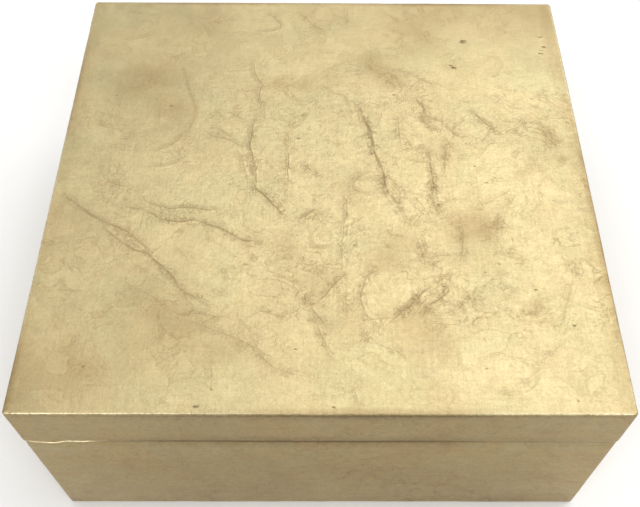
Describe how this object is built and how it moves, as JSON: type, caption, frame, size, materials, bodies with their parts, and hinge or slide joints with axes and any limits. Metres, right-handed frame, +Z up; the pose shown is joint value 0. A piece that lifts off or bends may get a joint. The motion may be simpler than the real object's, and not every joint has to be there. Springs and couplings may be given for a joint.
{
  "type": "lidded box",
  "caption": "Shallow square wooden box gilded with pale, wrinkled metal leaf, with a flush lift-off lid over a raised inner lip and felt linings.",
  "frame": {"origin": "on the surface the box stands on, under the middle of the box", "axes": "+Z up through the lid, +X to the right and -Y out of the face that is turned to the viewer; the four sides are alike"},
  "size_m": [0.152, 0.152, 0.062],
  "materials": {
    "gilded_wood": "satin",
    "liner_wood": "satin",
    "panel_wood": "matte",
    "lining_felt": "matte",
    "base_felt": "matte"
  },
  "bodies": {
    "base": {"front_wall": "gilded_wood", "right_wall": "gilded_wood", "back_wall": "gilded_wood", "left_wall": "gilded_wood", "bottom_panel": "panel_wood", "front_liner": "liner_wood", "right_liner": "liner_wood", "back_liner": "liner_wood", "left_liner": "liner_wood", "floor_lining": "lining_felt", "underside_felt": "base_felt"},
    "lid": {"front_lid_rail": "gilded_wood", "right_lid_rail": "gilded_wood", "back_lid_rail": "gilded_wood", "left_lid_rail": "gilded_wood", "lid_top_panel": "gilded_wood", "lid_lining": "lining_felt"}
  },
  "joints": [
    {"name": "lid_lift", "type": "slide", "parent": "base", "child": "lid", "axis": [0, 0, 1], "range_m": [0, 0.1]}
  ]
}
